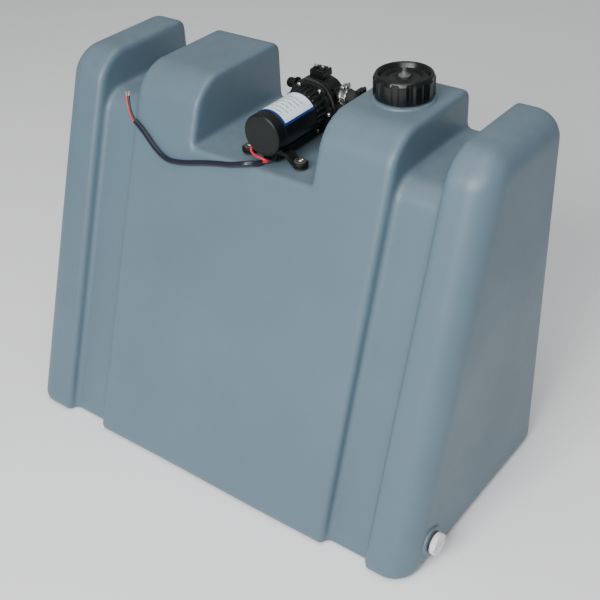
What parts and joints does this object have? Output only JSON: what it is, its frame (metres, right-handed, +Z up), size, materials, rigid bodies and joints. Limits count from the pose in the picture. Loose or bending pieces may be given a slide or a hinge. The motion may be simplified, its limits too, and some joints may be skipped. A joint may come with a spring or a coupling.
{
  "type": "portable fresh water tank with pump",
  "caption": "Upright tapered water tank with strap grooves, a vented screw cap, a drain bung and a small diaphragm pump set in a notch in its top.",
  "frame": {"origin": "centre of the tank's flat underside", "axes": "+X along the tank's width, towards the end with the drain bung; +Y from the sloping front to the upright back; +Z up"},
  "size_m": [0.6423, 0.3216, 0.5166],
  "materials": {
    "tank_plastic": "satin blue-grey moulded polyethylene with a fine grain",
    "cap_plastic": "semi-gloss black",
    "nipple_plastic": "grey",
    "bung_plastic": "white",
    "pump_plastic": "black glass-filled plastic",
    "can_paint": "black paint",
    "label_film": "white film with a blue border",
    "rubber": "matt",
    "steel": "bright",
    "bronze": "sintered",
    "copper": "copper",
    "ferrite": "dark grey ferrite",
    "carbon": "graphite",
    "nylon": "natural nylon",
    "hose_rubber": "black hose",
    "cable_pvc": "dark blue-black PVC",
    "core_red": "red PVC",
    "core_black": "black PVC"
  },
  "bodies": {
    "tank": {"brush_left": "carbon", "brush_right": "carbon", "cable_sheath": "cable_pvc", "core_black": "core_black", "core_red": "core_red", "crankcase": "pump_plastic", "diaphragm": "rubber", "fitting_seal": "rubber", "foot_grommet_1": "rubber", "foot_grommet_2": "rubber", "foot_grommet_3": "rubber", "foot_grommet_4": "rubber", "foot_screw_1": "steel", "foot_screw_2": "steel", "foot_screw_3": "steel", "foot_screw_4": "steel", "front_bearing": "bronze", "head_screw_1": "steel", "head_screw_2": "steel", "head_screw_3": "steel", "head_screw_4": "steel", "head_screw_5": "steel", "head_screw_6": "steel", "hose_clip_pump": "steel", "hose_clip_tank": "can_paint", "inlet_barb": "pump_plastic", "lead_red": "core_red", "magnet_left": "ferrite", "magnet_right": "ferrite", "motor_can": "can_paint", "motor_end_cap": "pump_plastic", "motor_label": "label_film", "outlet_barb": "pump_plastic", "pickup_elbow": "pump_plastic", "pickup_strainer": "pump_plastic", "pickup_tube": "nylon", "pump_base": "pump_plastic", "pump_head": "pump_plastic", "rear_bearing": "bronze", "suction_hose": "hose_rubber", "switch_body": "pump_plastic", "switch_cap": "pump_plastic", "switch_spring": "steel", "tank_fitting": "pump_plastic", "tank_shell": "tank_plastic", "valve_plate": "pump_plastic"},
    "cap_ring": {"cap_seal": "rubber"},
    "cap": {"filler_cap": "cap_plastic", "breather_nipple": "nipple_plastic"},
    "breather_flap": {"breather_disc": "rubber"},
    "bung_ring": {"bung_seal": "rubber"},
    "bung": {"drain_bung": "bung_plastic"},
    "rotor": {"armature": "ferrite", "commutator": "copper", "eccentric_cam": "steel", "motor_shaft": "steel"},
    "wobble": {"wobble_plate": "nylon"},
    "inlet_flap": {"inlet_valve": "rubber"},
    "outlet_flap": {"outlet_valve": "rubber"},
    "plunger": {"switch_plunger": "nylon"}
  },
  "joints": [
    {"name": "cap_rise", "type": "slide", "parent": "tank", "child": "cap_ring", "axis": [0, 0, 1], "range_m": [0, 0.02551]},
    {"name": "cap_turn", "type": "hinge", "parent": "cap_ring", "child": "cap", "pos_m": [0.1465, 0.0965, 0.48], "axis": [0, 0, 1], "range_deg": [0, 1080]},
    {"name": "breather_lift", "type": "slide", "parent": "cap", "child": "breather_flap", "axis": [0, 0, 1], "range_m": [0, 0.002]},
    {"name": "bung_out", "type": "slide", "parent": "tank", "child": "bung_ring", "axis": [1, 0, 0], "range_m": [0, 0.01801]},
    {"name": "bung_turn", "type": "hinge", "parent": "bung_ring", "child": "bung", "pos_m": [0.315, -0.0995, 0.032], "axis": [1, 0, 0], "range_deg": [0, 2160]},
    {"name": "motor_spin", "type": "hinge", "parent": "tank", "child": "rotor", "pos_m": [0.0215, 0.05, 0.4445], "axis": [0, 1, 0], "continuous": true},
    {"name": "wobble_tilt", "type": "hinge", "parent": "tank", "child": "wobble", "pos_m": [0.0215, 0.08219, 0.4445], "axis": [1, 0, 0], "range_deg": [-3.5, 3.5], "stiffness_Nm_per_rad": 0.5},
    {"name": "inlet_valve_open", "type": "slide", "parent": "tank", "child": "inlet_flap", "axis": [0, -1, 0], "range_m": [0, 0.0008], "stiffness_N_per_m": 50},
    {"name": "outlet_valve_open", "type": "slide", "parent": "tank", "child": "outlet_flap", "axis": [0, 1, 0], "range_m": [0, 0.0008], "stiffness_N_per_m": 50},
    {"name": "switch_trip", "type": "slide", "parent": "tank", "child": "plunger", "axis": [0, 0, 1], "range_m": [0, 0.0008], "stiffness_N_per_m": 300, "deforming": ["switch_spring"]}
  ],
  "couplings": [
    {"joint": "cap_rise", "follows": "cap_turn", "m_per_rad": 0.0013528},
    {"joint": "bung_out", "follows": "bung_turn", "m_per_rad": 0.00047746}
  ]
}
